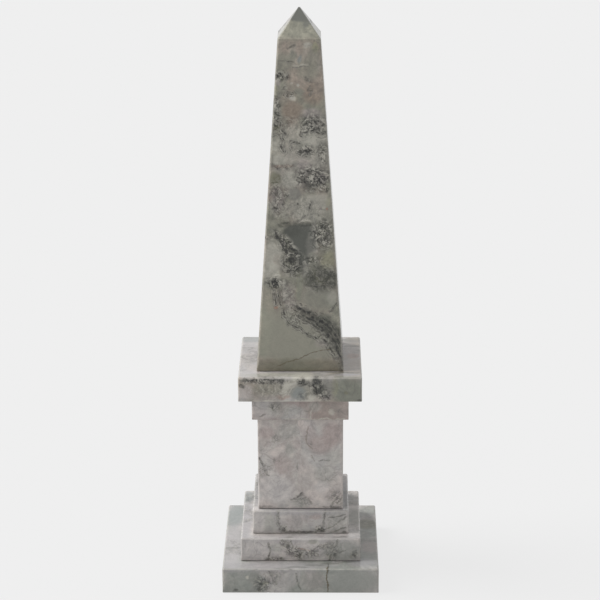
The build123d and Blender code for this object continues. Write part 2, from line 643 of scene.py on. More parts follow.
class Marks:
    """Marks of one block, placed on its front face in mm from its axis and its foot."""

    def __init__(self, graph, place, wobble, front, groups):
        self.graph = graph
        self.place = dict(zip("XYZ", graph.parts(place)))
        self.wobble = wobble
        self.front = front
        self.groups = groups

    def made(self, kind, values):
        """Output of one more group node of this kind."""
        made = self.graph.node("ShaderNodeGroup", node_tree=self.groups[kind])
        for name, value in {**self.place, **values}.items():
            self.graph.feed(value, made.inputs[name])
        return self.graph.out(made)

    def body(self, centre, half_sizes, strength, turn=0, softness=mark_softness):
        """Oval body round this centre, turned by these degrees as seen from the front."""
        values = dict(zip(("Centre X", "Centre Y", "Centre Z"), centre))
        values.update(zip(("Half Width", "Half Depth", "Half Height"), half_sizes))
        values.update({"Turn": math.radians(turn), "Softness": softness, "Strength": strength})
        return self.made("spot", values)

    def oval(self, x, height, wide, high, strength, turn=0, softness=mark_softness):
        """Oval on the front face."""
        centre = (x, self.front.at(height), self.front.foot + height)
        return self.body(centre, (wide / 2, mark_depth, high / 2), strength, turn, softness)

    def patch(self, x, back, wide, deep, strength):
        """Oval on the top face, this far behind the front."""
        centre = (x, back - self.front.half, self.front.foot + self.front.height)
        return self.body(centre, (wide / 2, deep / 2, top_mark_height), strength)

    def stroke(self, points):
        """Distance from a vein along the points."""
        nearest = None
        for (x0, z0), (x1, z1) in zip(points, points[1:]):
            values = {
                "Start X": x0,
                "Start Y": self.front.at((z0 + z1) / 2),
                "Start Z": self.front.foot + z0,
                "Run X": x1 - x0,
                "Run Z": z1 - z0,
            }
            run = self.made("run", values)
            nearest = run if nearest is None else self.graph.math("MINIMUM", nearest, run)
        return self.graph.math("SQRT", nearest)

    def line(self, distance, width, strength):
        """The vein itself, a little uneven."""
        uneven = distance + self.wobble
        return self.graph.ranged(uneven, 0.85 * width, 0.25 * width, 0.0, strength, smooth=True)


def largest(graph, masks, total=None):
    """Highest of several masks, or none at all."""
    for mask in masks:
        total = mask if total is None else graph.math("MAXIMUM", total, mask)
    return total


# Marks of each block, in mm across from its axis and up from its foot
# Tones and plain patches: tone, x, height, width, height of the patch, strength, and where they
# aren't the usual ones the turn in degrees and the softness
# Tops: tone, x, distance behind the front, width, depth of the patch, strength
# Clusters and masses of dark mineral: x, height, width, height of the body, strength, turn
# Veins, pale seams and cracks: width, strength, points of x and height. Some pale seams are painted
# highlights along a block's lower arris
shaft_marks = {
    "tones": [
        ("olive", 0, 60, 60, 60, 0.5),
        ("pink", -2, 250, 40, 24, 0.7),
        ("pale", 0, 248, 30, 16, 0.3),
        ("pale", 4, 187, 44, 16, 0.7),
        ("mauve", 0, 163, 46, 34, 0.5),
        ("pale", 0, 171, 44, 22, 0.5),
        ("clean", 0, 267, 40, 16, 0.8),
        ("pink", -10.5, 253, 6, 11, 0.8),
        ("pink", 0.5, 254, 5, 10, 0.8),
        ("pale", 6.5, 256, 6, 4.5, 0.8),
        ("yellow_olive", 12, 254, 5, 8, 0.9),
        ("green_grey", -4.5, 248.5, 5.5, 6.5, 0.7),
        ("blue_grey", 0.5, 245, 3, 5.5, 0.8),
        ("mauve", 14.5, 240.5, 4, 9.5, 0.6),
        ("olive", 6, 238, 16, 16, 0.7),
        ("olive", -11, 243, 16, 14, 0.8),
        ("olive", 11, 243, 10, 22, 0.6),
        ("mauve", -16, 228, 4, 4, 0.7),
        ("bright", -6, 227, 3, 2, 0.5),
        ("bright", -1, 225.5, 2.4, 2.4, 0.8),
        ("pink", 1.5, 228, 5.5, 4, 0.7),
        ("brown", 11, 219, 16, 16, 0.8),
        ("pink", 14, 222, 8, 10, 0.5),
        ("green_grey", 0, 220.5, 8, 5.5, 0.7),
        ("yellow_olive", -18, 220.5, 3, 11, 0.7),
        ("bright", -5.5, 215.5, 6, 3.6, 1.0, -25),
        ("brown", -5.5, 206, 16, 15, 0.9),
        ("mauve", 9, 204, 15, 8, 0.8),
        ("mauve", 13, 197, 12, 10, 0.5),
        ("bright", 12.5, 199.5, 3, 2.2, 0.8),
        ("bright", 13.5, 190.5, 6.5, 1.6, 0.8, -8),
        ("yellow_olive", -17, 193, 4, 6, 0.9),
        ("pale", 12.5, 183.5, 17, 8, 0.9),
        ("green_grey", 2, 180, 12, 5, 0.6),
        ("pale", -18, 180, 6, 11, 0.8),
        ("pale", 6, 172, 6.5, 3.5, 0.8),
        ("pale", -15.5, 168, 9, 8, 0.9),
        ("rust", -12.5, 163.5, 15, 2.6, 0.5),
        ("mauve", 3.5, 163.5, 10, 10, 0.8),
        ("dark_olive", -18.5, 153.5, 8.5, 10.5, 0.9),
        ("pale", -6.5, 153.5, 12, 12, 0.9),
        ("bright", 9, 153.5, 6, 4, 0.5, -20),
        ("bright", 17.5, 152.5, 7, 4, 0.4, 15),
        ("bright", 13.5, 161, 5, 3, 0.5),
        ("mauve", 17, 154, 10, 8, 0.6),
        ("mauve", -17, 137, 11, 22, 0.6),
        ("bright", -20.5, 134.5, 4, 4.5, 0.6),
        ("pale", 5, 130, 32, 20, 0.8),
        ("yellow_olive", 21, 136, 4.5, 6.5, 0.8),
        ("rust", 20.5, 130, 2.4, 2, 0.8),
        ("mauve", 16.5, 130.5, 2, 2.4, 0.8),
        ("bright", 1, 120.5, 6, 2.2, 0.9, 20),
        ("pale", 11, 117.5, 3.2, 12, 0.9),
        ("bright", 19, 103.5, 5, 4, 0.8),
        ("pale", -20.5, 92, 15, 27, 0.9),
        ("pink", -17.5, 89, 5, 10, 0.5),
        ("pink", 12, 97.5, 5.5, 6, 0.7),
        ("bright", 12, 98, 4, 5, 0.6),
        ("yellow_olive", 22, 89, 12, 16, 0.8),
        ("dark_olive", 8, 89.5, 14, 3.5, 0.6, 10),
        ("pale", -22.5, 80, 13, 13, 0.9),
        ("bright", -17.5, 77, 6, 3.6, 0.7),
        ("dark_olive", 17, 76, 18, 12, 0.7),
        ("grey", 20, 80, 12, 8, 0.5),
        ("yellow_olive", -0.5, 69.5, 5, 21, 0.8),
        ("mauve", -9, 60, 9, 24, 0.5, 8),
        ("bright", -11.5, 61, 4, 6, 0.6, 10),
        ("rust", -18.5, 51.5, 3, 2.4, 0.9),
        ("yellow_olive", -3, 41, 5.5, 6, 0.6, 20),
        ("bright", -1, 38.5, 3.5, 3, 0.5),
        ("mauve", 16.5, 21.5, 10, 8, 0.6),
    ],
    "plain": [
        ("tip_grey", 0.5, 278, 22, 15, 1.0, 0, 0.2),
        ("tip_grey", 6, 271.5, 5, 8, 0.8, -45),
        ("green_grey", 14, 59.5, 28, 20, 0.6),
        ("pale", 25, 60, 8, 11, 0.5),
        ("green_grey", -0.5, 69, 4.5, 22, 0.7),
        ("clean", 0, 15, 80, 13, 0.8),
        ("clean", -9, 30, 42, 38, 0.95, -12),
        # Pale olive strips down the left edge of the shaft's front: a painted highlight of the left arris
        ("pale_olive", -25, 50, 10, 34, 0.5),
        ("pale_olive", -28, 30, 8, 40, 0.5),
        ("dark_olive", 0, 4, 76, 12, 0.65),
        ("slate", 1, 112, 28, 13, 1.0, 0, 0.2),
        ("slate", 3, 103, 22, 17, 1.0, 0, 0.2),
        ("slate", 2, 92, 11, 18, 0.9, 0, 0.3),
        ("grey", 4, 84, 8, 12, 0.6),
        ("grey", 9, 99, 8, 22, 0.5),
        ("pale", -21, 91, 12, 20, 0.4),
        ("grey", -4, 141.5, 11, 9, 0.9, -20, 0.25),
        ("pale", -7, 152.5, 12, 12, 0.7, 30),
        ("pale", 15, 137, 15, 10, 0.6),
        ("pale", 10, 183, 16, 8, 0.6),
    ],
    "clusters": [
        (-14, 232.5, 14.2, 7.1, 1), (-11, 224, 4.7, 4.7, 0.6), (-18, 204, 7.1, 29.5, 0.9),
        (11, 196, 21.2, 14.2, 0.9), (5, 192, 7.1, 7.1, 0.8), (5, 175, 15.3, 9.4, 0.9),
        (18, 173.5, 9.4, 17.7, 0.8), (-12, 163, 18.9, 4.7, 0.5), (10.5, 154, 29, 19, 1.0),
        (19, 145, 10.6, 4.7, 0.8), (-17, 137, 14.2, 28.3, 0.65), (-9.5, 142.5, 3.5, 7.1, 0.7),
        (-10, 100, 32, 10, 1.0, -52), (-6, 87, 16.5, 20.1, 0.9), (18.5, 109.5, 17.7, 24.8, 0.9),
        (9, 89.5, 18.9, 5.9, 0.7, 10), (-19, 71.5, 14.2, 9.4, 1), (-9, 59, 12, 32, 0.5, 8),
        (15, 75, 21.2, 7.1, 0.4), (21, 33, 32, 18, 0.5, -38), (29, 17, 8, 28, 0.5, 28),
        (-3, 42, 11.8, 10.6, 0.6, -40), (17, 76, 30, 22, 0.6), (-6, 196, 22, 14, 0.3),
        (0, 128, 40, 22, 0.35), (-2, 152, 44, 14, 0.25),
    ],
    "masses": [
        (7, 175.5, 7, 3, 0.9, 10), (1, 174, 2.4, 4, 0.8), (10, 148.5, 4.5, 3, 0.9),
        (-18, 142.5, 3.5, 3, 0.8), (-18.5, 131, 4, 2.4, 0.9, -20), (-1.5, 134, 1.8, 1.8, 1.0),
        (15, 125, 1.6, 1.6, 0.7), (-4, 182, 2.4, 1.8, 0.9), (18, 116, 7, 4, 0.6, 12),
        (-19.5, 71.5, 6, 5, 0.9), (24, 33, 32, 14, 1.0, -50), (11, 42.5, 28, 9, 0.9, -31),
        (31, 17, 26, 6, 0.8, -64), (-10.5, 100.5, 26, 6, 0.6, -52), (-11, 223.5, 2, 2.6, 0.7),
        (18, 74, 30, 17, 0.85), (14, 82, 14, 7, 0.7), (-6, 86, 14, 12, 0.6), (-2, 80, 12, 8, 0.5),
        (-9, 118, 20, 4, 0.9, 8), (2, 118, 24, 4, 0.7), (-6, 112, 14, 8, 0.4),
    ],
    "veins": [
        (0.8, 0.5, [(-9, 253.5), (-6, 254.5), (-3.5, 255.5)]),
        (0.7, 0.3, [(-16, 244), (-10, 243.5), (-3, 243.5)]),
        (0.7, 0.3, [(-4.5, 239), (0, 239.5), (4.5, 240.5)]),
        (1.0, 0.5, [(5, 232), (6.5, 229.5), (9, 229)]),
        (0.9, 0.5, [(8, 224.5), (7, 221.5), (9.5, 221.5), (8, 218)]),
        (1.3, 0.8, [(-10, 218), (-8, 219), (-6, 218.5)]),
        (1.4, 0.8, [(3, 195), (6, 198), (9, 199), (11.5, 199), (13.5, 196)]),
        (1.8, 0.95, [(4, 189.5), (7.5, 190.5), (10.5, 191.5), (13.5, 189.5), (16.5, 188.5), (20, 190)]),
        (1.3, 0.75, [(-21, 188), (-18, 190), (-15, 187.5), (-13.5, 183), (-14, 178.5), (-12, 175)]),
        (1.2, 0.7, [(-14.5, 197.5), (-14, 193), (-11.5, 190), (-9.5, 187)]),
        (1.2, 0.7, [(-5.5, 182), (-2.5, 181.5), (0.5, 181)]),
        (1.1, 0.6, [(-5.5, 179), (-5.5, 176)]),
        (1.5, 0.8, [(-0.5, 174.5), (1, 173), (3.5, 175), (6.5, 177), (9.5, 175)]),
        (1.2, 0.5, [(-21, 164.5), (-17, 162), (-12.5, 163.5), (-9, 161.5), (-5, 163.5)]),
        (1.2, 0.8, [(3.5, 159.5), (2, 156.5)]),
        (0.8, 0.45, [(-1.5, 120), (2, 123), (6.5, 125)]),
        (1.2, 0.8, [(9, 134.5), (8, 132.5), (8.5, 130)]),
        (1.6, 0.6, [(-27, 106.5), (-21.5, 107.5), (-17, 106.5)]),
        (1.4, 0.8, [(-18, 111), (-15, 104), (-12, 98), (-8, 94), (-3, 89)]),
        (1.2, 0.7, [(-20.5, 65.5), (-19.5, 60), (-18.5, 54.5)]),
        (1.2, 0.7, [(-16, 65.5), (-16, 59.5), (-15, 53)]),
        (1.2, 0.75, [(-13, 49), (-11.5, 43), (-8, 39), (-3, 36), (2.5, 32.5)]),
        (1.8, 0.95, [(-3, 52), (1.5, 50), (6.5, 47), (11, 43.5), (15.5, 41.5), (23.5, 35.5), (30, 25)]),
        (1.5, 0.9, [(3, 45.5), (9, 42), (15, 37), (21, 31), (26, 24.5), (30.5, 17)]),
        (1.6, 0.8, [(-1.5, 45), (3, 41.5), (8, 39), (12.5, 36), (17, 32.5)]),
        (1.2, 0.75, [(2.5, 32.5), (10, 28.5), (15.5, 25.5), (20.5, 22), (26.5, 15)]),
        (1.6, 0.85, [(18, 27), (22, 21.5), (26, 15.5), (30, 10), (32, 7.5)]),
        (1.6, 0.85, [(23.5, 27), (27.5, 20.5), (30.5, 14), (32.5, 8.5)]),
        (1.1, 0.6, [(24, 49), (26.5, 52), (29, 55.5)]),
        (1.3, 0.6, [(6.5, 69), (12.5, 68), (19, 69.5), (25, 68.5)]),
        (1.4, 0.8, [(32, 8.5), (33, 4), (33, 0)]),
    ],
    "seams": [
        (1.4, 0.8, [(0, 120.5), (4, 121.5), (9, 119), (12, 115), (13.5, 108)]),
        (1.2, 0.45, [(-4, 240.5), (-0.5, 240.3), (3, 241.6), (6, 241.3)]),
    ],
    "cracks": [
        (0.7, 0.6, [(-19, 4), (-11, 7), (-1.5, 10), (4, 12.5), (9.5, 15), (15.5, 17), (23.5, 17.5)]),
    ],
}

cap_marks = {
    "tones": [
        ("brown", -26, 9, 34, 20, 0.4),
        ("yellow_olive", -24, 11, 24, 12, 0.4),
        ("rose", -43, 8, 12, 12, 0.7),
        ("pale", -2, 12, 26, 16, 0.6),
        ("green_grey", 38, 9, 28, 26, 1.0),
        ("yellow_olive", 27, 12, 6, 14, 0.6),
        ("olive", 3, 8, 22, 14, 0.6),
        ("dark_olive", 36, 7.5, 4, 2.5, 0.6),
        ("mauve", 21, 5.5, 9, 9, 0.8),
        ("grey", 20, 12, 14, 16, 0.8),
        ("rust", -13, 4, 10, 4, 0.4),
    ],
    "plain": [
        ("blue_grey", -1, 7.2, 12, 11, 0.8),
        ("bright", -9.5, 14, 6, 10, 0.8, -35),
        ("bright", 2, 18.8, 16, 3, 0.8),
        ("bright", 9.5, 4, 7, 5.5, 0.9, 35),
    ],
    "tops": [
        ("lilac", -41, 44, 18, 100, 0.6),
        ("pale_ash", -41, 44, 18, 100, 0.25),
        ("blue_grey", -41, 90, 20, 14, 0.6),
        ("lilac", 42, 36, 18, 70, 0.3),
        ("brown", 43, 45, 20, 100, 0.35),
        ("slate", 43, 88, 22, 12, 0.5),
        ("slate", 43, 73, 16, 4, 0.4),
        ("rust", 42, 50, 10, 12, 0.45),
        ("pale_olive", -14, 6.5, 56, 8, 0.5),
        ("slate", 34, 11.5, 30, 2.4, 0.7),
        ("lilac", 38, 7.5, 20, 5, 0.8),
    ],
    "clusters": [
        (-28, 17, 40, 5, 0.8), (-24, 9, 32, 14, 0.3), (1.5, 16.5, 10, 6, 0.9),
        (13, 13, 9, 15, 1.0, -20), (19, 6, 13, 9, 0.8, -30), (3, 5, 10, 8, 0.4),
    ],
    "masses": [
        (-42.1, 17.9, 6, 2.4, 0.9), (-45.5, 13.3, 5, 3, 0.8, -25), (-35.7, 17.9, 5, 1.8, 0.8),
        (-22.9, 18.4, 9, 2, 0.9), (-14.4, 17.5, 5, 3, 0.9), (-15.2, 13.5, 1.4, 6, 0.7),
        (1.5, 16, 9, 5, 0.85), (7, 15, 4, 5, 0.7), (12.5, 16, 9, 7, 0.95, -20),
        (13, 11, 6, 10, 0.95, -10), (18, 11, 8, 8, 0.6, -30), (13.9, 7.2, 2.5, 3, 0.9),
        (47, 1, 5, 3, 0.7),
    ],
    "seams": [
        (4.4, 1.0, [(-12.5, 6.5), (-11.5, 11.5), (-8.5, 15.5), (-3.5, 18), (3, 19), (8, 18.4)]),
        (1.2, 0.8, [(9, 19.4), (8.3, 14), (9.5, 9)]),
        (1.0, 0.6, [(-10, 5), (-8, 9), (-5, 13)]),
        # Pale line along the cap's lower arris: a painted highlight of the bevel
        (1.4, 0.8, [(-35.2, 0.3), (-20, 0.2), (-5, 0.3), (10.4, 0.2)]),
        (1.0, 0.6, [(-22, 5), (-19, 9), (-20, 14)]),
        (1.0, 0.6, [(-30, 4), (-28, 9), (-31, 13)]),
        (0.9, 0.5, [(4, 7), (7, 9), (8, 12)]),
    ],
}

neck_marks = {
    "tones": [
        ("pale_ash", -29, 9, 20, 20, 0.7),
        ("sage", -17, 9, 18, 14, 0.6),
        ("pink", 20, 9, 34, 22, 0.45),
        ("bright", 24.7, 6.5, 5, 5, 0.6),
        ("sage", 12, 11, 10, 8, 0.5),
    ],
    "clusters": [
        (-20, 11, 9, 8, 0.5),
    ],
    "masses": [
        (-22, 11, 1.5, 4, 0.3),
    ],
    "veins": [
        (0.9, 0.4, [(-32, 2.6), (-28, 4.5)]),
        (0.7, 0.4, [(-22, 12), (-21.5, 8)]),
        (0.7, 0.4, [(-17.7, 12.5), (-17, 8.5)]),
    ],
    "seams": [
        (0.9, 0.7, [(8.9, 10), (8.3, 6.5), (8.1, 1)]),
        # Pale line along the neck's lower arris: a painted highlight of the bevel
        (0.9, 0.8, [(-12, 0.6), (5, 0.5), (20, 0.7), (35, 0.6)]),
    ],
}

die_marks = {
    "tones": [
        ("sage", -10.5, 66.5, 18, 15, 0.5),
        ("blush", -27, 65.5, 12, 10, 0.7),
        ("blush", 25, 64.5, 16, 20, 0.9),
        ("blush", 16, 55, 20, 16, 0.8),
        ("blush", 7, 64, 12, 16, 0.5),
        ("sage", -8.5, 52, 8, 12, 0.6),
        ("sage", 19.5, 30, 16, 14, 0.6),
        ("blush", -14, 36, 18, 16, 0.5),
        ("pale_ash", -16.5, 16, 22, 24, 0.9),
        ("pale_ash", 17, 19, 11, 10, 0.7),
        ("sage", 0, 5, 14, 8, 0.6),
        ("sage", 26, 44, 14, 14, 0.5),
    ],
    "clusters": [
        (-18.5, 61, 7, 9, 0.35), (-29, 34, 10, 14, 0.4, -35), (29, 9, 12, 15, 0.5, 30),
        (2, 7, 14, 10, 0.35),
    ],
    "masses": [
        (-2.5, 37, 1.4, 6, 0.4), (-21, 41.5, 1.6, 5, 0.4), (-0.5, 11.5, 6, 3, 0.6, 25),
        (24, 1.2, 16, 2, 0.6), (-28, 1.5, 13, 2.2, 0.5), (8.5, 57, 2, 3, 0.4),
    ],
    "veins": [
        (1.0, 0.4, [(-33, 44), (-30, 38), (-27.5, 31)]),
        (0.8, 0.35, [(-30.5, 40.5), (-28.5, 32.5), (-25.5, 28.5)]),
        (0.9, 0.5, [(-7, 7.5), (-3, 9), (0.5, 13.5)]),
        (0.9, 0.5, [(-0.5, 7.5), (4.5, 10), (9, 5)]),
        (0.9, 0.5, [(24.5, 2), (27.5, 7.5), (32.5, 13.5)]),
        (0.9, 0.5, [(30, 5), (34, 10)]),
        (0.7, 0.25, [(15, 41.5), (19, 42), (23, 41.5)]),
    ],
    "cracks": [
        (1.0, 0.35, [(6, 70.5), (4.5, 63), (5, 57.5), (9, 51.5)]),
        (1.0, 0.3, [(9, 46.5), (11, 41.5)]),
    ],
}

upper_step_marks = {
    "tones": [
        ("sage", -24.5, 9, 10, 16, 0.7),
        ("pale_ash", -33.5, 9.5, 9, 18, 0.9),
        ("blush", -3.5, 11, 22, 14, 0.3),
        ("blush", 12, 15, 10, 6, 0.7),
        ("sage", 29, 9, 18, 18, 0.5),
    ],
    "tops": [
        ("lilac", 0, 38, 90, 90, 0.9),
        ("slate", 36.5, 24, 4, 40, 0.5),
        ("slate", -37, 45, 5, 80, 0.25),
    ],
    "clusters": [
        (28, 9, 18, 17, 0.15), (-14, 4, 8, 6, 0.6), (16, 4, 8, 6, 0.8), (-18, 12, 3, 14, 0.5),
    ],
    "masses": [
        (-14.3, 3.3, 3.4, 3.4, 0.8), (16.6, 2.8, 5.5, 4, 0.9, 15), (35.4, 1.4, 5, 2.5, 0.7),
        (0, 1, 26, 1.6, 0.4),
    ],
    "veins": [
        (0.8, 0.6, [(-17.7, 17.9), (-17.4, 9), (-17.4, 3.3)]),
        (0.9, 0.6, [(-14, 2.5), (-6, 1), (4, 0.8), (13.9, 1.3)]),
        (0.8, 0.6, [(20.2, 18), (18.5, 12), (17.5, 7), (16.6, 2.8)]),
        (0.7, 0.45, [(17, 3), (23, 5.3), (30, 9.2), (36.3, 14)]),
        (0.7, 0.4, [(23, 14), (29, 14.5), (35.5, 16)]),
        (0.7, 0.45, [(24, 1), (30, 3), (36, 5)]),
    ],
}

lower_step_marks = {
    "tones": [
        ("pale_ash", -36, 9, 28, 24, 1.0),
        ("pale_ash", -12, 10, 26, 24, 0.5),
        ("sage", -20, 12, 10, 8, 0.7),
        ("pale_olive", 10, 17, 9, 4, 0.7),
        ("cool", 33, 8.5, 32, 19, 0.8),
        ("rust", 2.5, 10.2, 12, 1.2, 0.5, -10),
    ],
    "tops": [
        ("lilac", -45, 40, 12, 90, 0.8),
        ("blue_grey", -45, 82, 12, 22, 0.7),
        ("slate", 44, 76, 12, 22, 0.4),
        ("green_grey", 44, 41, 12, 34, 0.7),
        ("lilac", 0, 3, 100, 10, 0.4),
        ("slate", -9, 2.5, 7, 3, 0.4),
        ("slate", 31.8, 3.6, 14, 3, 0.4),
    ],
    "clusters": [
        (-12, 14, 8, 8, 0.6), (-4, 7, 16, 10, 0.8, -35), (8, 7, 16, 10, 0.6),
        (25, 9, 12, 16, 0.5, 15), (-21, 2, 14, 4, 0.7), (43, 6, 6, 8, 0.5), (17, 12, 8, 6, 0.5),
    ],
    "masses": [
        (-10, 13, 3, 3, 0.8), (-2, 4, 3, 3, 0.8), (43.5, 6, 4, 5, 0.7), (10.4, 8.9, 3, 2, 0.5),
        (28, 5, 4, 3, 0.6), (-26, 1, 5, 2, 0.7), (-15.5, 2, 4, 2.4, 0.7),
    ],
    "veins": [
        (0.8, 0.5, [(-25.5, 15.5), (-24.5, 8.5), (-26.5, 1.5)]),
        (0.9, 0.8, [(-15.4, 17.7), (-12.8, 13.8), (-9.3, 8.9), (-2.1, 5), (-0.4, 1.5)]),
        (0.8, 0.6, [(-2, 5), (3, 4), (8, 6), (12, 8.5)]),
        (0.8, 0.6, [(30, 17.3), (28.5, 13), (26.4, 9), (24, 4), (22.9, 0)]),
        (0.7, 0.4, [(10, 9), (13, 12), (17, 13), (22, 15)]),
        (0.8, 0.5, [(-9, 9), (-6, 13), (-8, 17)]),
        (0.7, 0.4, [(26, 9), (31, 7), (36, 9)]),
    ],
}

plinth_marks = {
    "tones": [
        ("bright", -42.4, 13.6, 2.6, 2.6, 0.9),
        ("yellow_olive", -27.8, 8.8, 5, 3, 0.5),
        ("mauve", 10, 10.5, 20, 17, 0.4),
    ],
    "plain": [
        ("cool", 43, 10, 40, 24, 0.9),
    ],
    "tops": [
        ("lilac", -56, 40, 16, 100, 0.8),
        ("pale_ash", -56, 40, 16, 100, 0.2),
        ("blue_grey", -56, 104, 16, 44, 0.8),
        ("slate", -56, 39, 16, 3.5, 0.35),
        ("cool", 55, 112, 16, 18, 0.8),
        ("dark_olive", 55, 86, 16, 20, 0.9),
        ("blush", 56, 42, 16, 22, 0.5),
        ("lilac", 50, 12, 26, 14, 0.7),
        ("lilac", -20, 6, 90, 14, 0.6),
        ("slate", 0, 5, 116, 14, 0.08),
        ("slate", 36, 13, 16, 4, 0.4),
        ("slate", 24, 10, 16, 4, 0.45),
        ("slate", 12, 7, 16, 3.5, 0.4),
        ("slate", -2, 3.5, 18, 3, 0.35),
        ("slate", -14, 1.5, 14, 2.5, 0.3),
        ("slate_dark", 22.2, 4, 1.2, 14, 0.6),
    ],
    "clusters": [
        (-30, 8, 14, 14, 0.7), (-22, 14, 12, 10, 0.4),
    ],
    "masses": [
        (-51.9, 2, 4, 2.4, 0.8), (-31.4, 7.8, 4, 4, 0.8), (-33, 2.9, 4, 3, 0.7),
        (-27.8, 4.8, 3, 6, 0.6),
    ],
    "veins": [
        (0.9, 0.4, [(-25, 18.6), (-22, 12), (-19.8, 7.8)]),
        (0.9, 0.4, [(-3.8, 17.6), (-3, 11), (-0.3, 3.9)]),
        (1.0, 0.6, [(-31, 8.5), (-34, 5), (-32.5, 1.5)]),
    ],
    "cracks": [
        (1.0, 0.85, [(21.5, 21), (21.5, 18.6), (20.6, 12.7), (22, 8), (21.9, 1)]),
    ],
}

stone_marks = {
    "plinth": plinth_marks,
    "lower_step": lower_step_marks,
    "upper_step": upper_step_marks,
    "die": die_marks,
    "neck_slab": neck_marks,
    "cap_slab": cap_marks,
    "obelisk_shaft": shaft_marks,
}


def new_material(name):
    """Empty material and its graph."""
    material = bpy.data.materials.new(name)
    material.use_nodes = True
    material.node_tree.nodes.clear()
    return material, Graph(material.node_tree)


def finish_material(graph, surface, bump):
    """Ends a material on one shader with these inputs and this bump."""
    surface["Normal"] = graph.out(graph.node("ShaderNodeBump", bump))
    shader = graph.node("ShaderNodeBsdfPrincipled", surface)
    graph.node("ShaderNodeOutputMaterial", {"Surface": graph.out(shader)})
    graph.arrange()


def object_millimetres(graph):
    """Place in the stone in mm."""
    coordinates = graph.node("ShaderNodeTexCoord")
    return graph.scaled(graph.out(coordinates, "Object"), 1.0 / MM)


def tint(share, warmth=0.0):
    """Grey or slightly warm factor for a colour."""
    return (share * (1 + warmth), share, share * (1 - warmth), 1.0)


